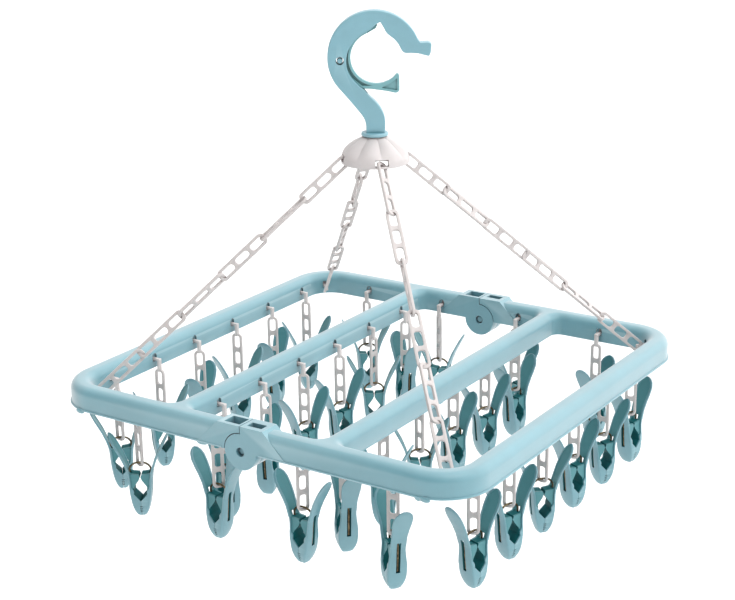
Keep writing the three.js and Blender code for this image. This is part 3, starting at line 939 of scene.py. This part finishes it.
def hub_surface(profile, petals, depth, sides=160):
    """A turned closed profile whose upper rings are drawn in between the petals' ridges."""
    bm = bmesh.new()
    rings = []
    for r, z, share in profile:
        ring = []
        for i in range(sides):
            a = 2 * math.pi * i / sides
            valley = abs(math.sin(petals * a / 2))
            inset = depth * share * (1 - valley ** 0.9)
            ring.append(bm.verts.new(((r - inset) * math.cos(a), (r - inset) * math.sin(a), z)))
        rings.append(ring)
    bridge(bm, [*rings, rings[0]])
    return bm


def hub_mesh():
    """The petalled bell with its four rim slots. Each profile row: radius, height, share of the petals."""
    profile = [
        (3.3, -6, 0), (8, -6.2, 0), (16.5, -11.8, 0.5), (21.6, -17.2, 0), (21.6, -21.2, 0),
        (22.0, -21.5, 0), (24.9, -21.5, 0), (25.3, -21.1, 0), (25.4, -18.4, 0), (25.3, -17.0, 0),
        (24.9, -15.8, 0.15), (24.3, -13.6, 0.6), (22.7, -10.9, 1.0), (19.6, -7.9, 1.1), (15.6, -5.1, 0.9),
        (11.8, -3.4, 0.6), (9.2, -2.2, 0.25), (8.6, -1.7, 0), (3.3, -1.7, 0),
    ]
    body = hub_surface(profile, 8, 3.0)
    slots = []
    for i in range(4):
        slot = block(20.5, 27, -5.1, 5.1, -19.8, -15)
        slot.transform(turn_z(45 + 90 * i))
        slots.append(slot)
    body = cut(body, joined(slots))
    body.transform(Matrix.Translation((0, 0, HUB_Z)))
    return body


def retainer_mesh():
    """The cap on the stem's end that holds the hub up."""
    body = lathe([
        (0, -10.8), (4.4, -10.8), (6.8, -8.6), (7, -8.2), (7, -6.6), (6.8, -6.4), (3.3, -6.4), (3.3, -9.5),
        (0, -9.5),
    ], 64)
    body.transform(Matrix.Translation((0, 0, HUB_Z)))
    return body


def build_hub():
    hub = to_object(hub_mesh(), "hub_petals", HUB, smooth_angle=40)
    attach(hub, "hub", "hub_bell")
    cap = to_object(retainer_mesh(), "hub_cap", HUB)
    attach(cap, "hook", "hub_retainer")


# ---------- hook ----------

def hook_outline():
    """The hook in x and z, z from the hub's top: back, nub, slope, throat with its notch, and front."""
    bowl = arc(0.4, 56.8, 34.3, 216, 22, 24)
    outside = flowing([(-6.4, 1), (-6.4, 7.5), (-8.2, 13), (-13.6, 20.2), (-21, 29.2), *bowl], 4)
    nub = [
        (33.9, 67.4), (39.4, 67.7), (41.6, 67.0), (42.1, 65.6), (41.6, 60.6), (40.6, 57.8), (39.6, 57.6),
        (36.2, 58.5),
    ]
    slope = flowing([
        (32.4, 59.5), (27, 59.9), (23, 60.0), (20.6, 61.6), (17.9, 66.7), (14.6, 70.5), (9.8, 74.4),
        (7.4, 78.6), (4.9, 82.9),
    ], 4)
    throat = flowing([
        (4.2, 82.3), (1.4, 80.6), (-2.2, 77.2), (-7.1, 74.6), (-12.1, 70.9), (-16.4, 66), (-19, 61),
        (-20.1, 55.1), (-19.6, 49.2), (-17.6, 44.1), (-14.3, 39.8), (-10.6, 35.9), (-8.2, 34.1),
    ], 4)
    front = flowing([
        (-7.3, 33.3), (-3.5, 28.6), (1.5, 23.8), (4.8, 19.4), (7.2, 13.9), (7.9, 8.7), (7.6, 1),
    ], 4)
    return [*outside, *nub, *slope, *throat, *front]


def lever_outline():
    """The lever in x and z: its thin arm along the throat, its end below and its ear round the pin."""
    inner = arc(2, 56.6, 19, 108, 286, 40)
    tip = flowing([(10.6, 39.6), (13.8, 41.6), (16.2, 44.3)], 3)
    end = [(17.2, 44.8), (18.1, 44.2), (18.5, 42.9), (18.6, 33), (18.1, 31.6), (16.4, 30.6)]
    under = flowing([(15, 30.6), (8, 32.1), (-2, 33.6), (-9.6, 34.6), (-17.6, 41), (-23.4, 49.4)], 4)
    ear = flowing([
        (-28.2, 51.6), (-29.6, 55), (-28.2, 58.4), (-24, 61.6), (-20, 67.4), (-13, 73.8), (-5, 77.6),
        (1.6, 80.4),
    ], 4)
    return [(3.0, 80.6), (1.6, 77.8), (-2.2, 75.7), *inner, *tip, *end, *under, *ear]


def in_hook_frame(bm):
    bm.transform(turn_z(HOOK_TURN) @ Matrix.Translation((0, 0, HUB_Z)))
    return bm


def hook_mesh():
    """The hook, slotted for its lever and bored for the lever's pin."""
    t = HOOK_T / 2
    body = bevelled(prism(hook_outline(), -t, t), 0.7, 3, 60)
    groove = [*arc(0.4, 56.8, 32.4, 86, 222, 30), (-11, 33), (-5, 30), (4, 45), (4.4, 60)]
    body = cut(body, prism(groove, -LEVER_T / 2 - 0.3, LEVER_T / 2 + 0.3))
    return cut(body, rod_y(3.0, *LEVER_PIN, -t - 1, t + 1, 40))


def flange_mesh():
    return lathe([(0, -1.3), (9.6, -1.3), (10, -0.9), (10, 0.5), (9.5, 1.2), (8.6, 1.5), (0, 1.5)], 72)


def stem_mesh():
    return lathe([(0, -9), (2.7, -9), (3, -8.6), (3, 1), (0, 1)], 40)


def lever_mesh():
    """The lever: a rim round a sunk web along the throat, and a pocket in its end."""
    face, web = LEVER_T / 2, LEVER_T / 2 - 1.4
    body = bevelled(prism(lever_outline(), -face, face), 0.35, 2, 60)
    outer_side = [(-9, 36.2), (-16, 42.2), (-20.8, 50), (-21.3, 57), (-19.5, 64)]
    crescent = [*arc(2, 56.6, 20.8, 154, 262, 24), *outer_side]
    end = [(-4.5, 73), (5, 74), (5, 84), (-4.5, 84)]
    for outline in (crescent, end):
        body = cut(body, joined([prism(outline, web, 4), prism(outline, -4, -web)]))
    # The sunk faces of the pockets get the second material, a painted shade.
    for polygon in body.faces:
        if abs(polygon.calc_center_median().y) < face - 0.4 and abs(polygon.normal.y) > 0.9:
            polygon.material_index = 1
    window = rounded([(5.4, 34.4), (16.9, 32.4), (16.9, 41.4), (11.8, 37.4)], 0.6, 2)
    body = cut(body, joined([prism(window, web, 4), prism(window, -4, -web)]))
    return cut(body, rod_y(2.75, *LEVER_PIN, -5, 5, 40))


def lever_pin_mesh():
    t = HOOK_T / 2 - 0.7
    return bevelled(rod_y(2.1, *LEVER_PIN, -t, t, 40), 0.6, 3, 50)


def build_hook():
    body = to_object(in_hook_frame(hook_mesh()), "hook_shape", HOOK)
    flatten(body)
    attach(body, "hook", "hook_body")
    for name, bm in (("hook_flange", flange_mesh()), ("hook_stem", stem_mesh())):
        piece = to_object(in_hook_frame(bm), name, HOOK)
        attach(piece, "hook")
    lever = to_object(in_hook_frame(lever_mesh()), "lever_shape", (LEVER, LEVER_PAINTED_SHADE))
    flatten(lever)
    attach(lever, "hook_lever", "hook_lever")
    pin = to_object(in_hook_frame(lever_pin_mesh()), "lever_rivet", HOOK)
    attach(pin, "hook", "hook_lever_pin")


# ---------- stage ----------

FLOOR_SIZE, FLOOR_Z = 20000, -700
# The brightest direction of the studio: right, rear and up.
SOFTBOX_WAY = (0.42, 0.60, 0.68)
# The camera's place in millimetres, its turns about x, y and z in degrees, and its lens.
CAMERA_PLACE = (657.6, -1006.6, 442.7)
CAMERA_TURNS = (72.0515, 0.8208, 33.2347)
CAMERA_LENS = 81.03


def stage_material():
    material, nodes, links, shader = new_material("studio_floor")
    coordinates = nodes.new("ShaderNodeTexCoord")
    mottle = noise(nodes, links, coordinates, 3, 2)
    colour = ramp(nodes, links, mottle.outputs["Fac"], [(0.3, (0.93,) * 3), (0.7, (0.95,) * 3)])
    links.new(colour.outputs["Color"], shader.inputs["Base Color"])
    shader.inputs["Roughness"].default_value = 0.9
    return material


def build_stage():
    bm = bmesh.new()
    place = Matrix.Translation((0, 0, FLOOR_Z))
    bmesh.ops.create_grid(bm, x_segments=4, y_segments=4, size=FLOOR_SIZE, matrix=place)
    floor = to_object(bm, "floor", stage_material())


def area_light(name, azimuth, elevation, distance, size, power):
    """A square light aimed at the frame. Azimuth 0 is the front and 90 the right. Sizes are in metres."""
    data = bpy.data.lights.new(name, "AREA")
    data.size = size
    data.energy = power
    light = bpy.data.objects.new(name, data)
    a, e = math.radians(azimuth), math.radians(elevation)
    way = Vector((math.sin(a) * math.cos(e), -math.cos(a) * math.cos(e), math.sin(e)))
    light.location = CENTRE + Vector((0, 0, 0.03)) + way * distance
    light.rotation_euler = way.to_track_quat("Z", "Y").to_euler()
    bpy.context.scene.collection.objects.link(light)


def build_lights():
    """A studio that is bright toward SOFTBOX_WAY and dim behind, and one soft key light."""
    world = bpy.data.worlds.new("studio")
    world.use_nodes = True
    nodes, links = world.node_tree.nodes, world.node_tree.links
    direction = nodes.new("ShaderNodeTexCoord")
    toward = nodes.new("ShaderNodeVectorMath")
    toward.operation = "DOT_PRODUCT"
    toward.inputs[1].default_value = SOFTBOX_WAY
    links.new(direction.outputs["Generated"], toward.inputs[0])
    level = nodes.new("ShaderNodeMapRange")
    level.inputs["From Min"].default_value = -1
    links.new(toward.outputs["Value"], level.inputs["Value"])
    glow = ramp(nodes, links, level.outputs["Result"], [
        (0, (0.08,) * 3), (0.42, (0.16,) * 3), (0.68, (0.52,) * 3), (1, (0.88,) * 3),
    ])
    links.new(glow.outputs["Color"], nodes["Background"].inputs["Color"])
    nodes["Background"].inputs["Strength"].default_value = 2.6
    bpy.context.scene.world = world
    bpy.context.scene.view_settings.view_transform = "Standard"
    area_light("key", 70, 58, 1.6, 0.9, 3)


def build_camera():
    data = bpy.data.cameras.new("camera")
    data.sensor_width = 36
    data.lens = CAMERA_LENS
    camera = bpy.data.objects.new("camera", data)
    camera.location = CENTRE + Vector(CAMERA_PLACE) * MM
    camera.rotation_euler = [math.radians(turn) for turn in CAMERA_TURNS]
    bpy.context.scene.collection.objects.link(camera)
    bpy.context.scene.camera = camera


build_camera()
build_lights()
build_stage()
build_leaves()
build_hinge_pins()
build_chains()
build_pegs()
build_hub()
build_hook()

bpy.context.view_layer.update()
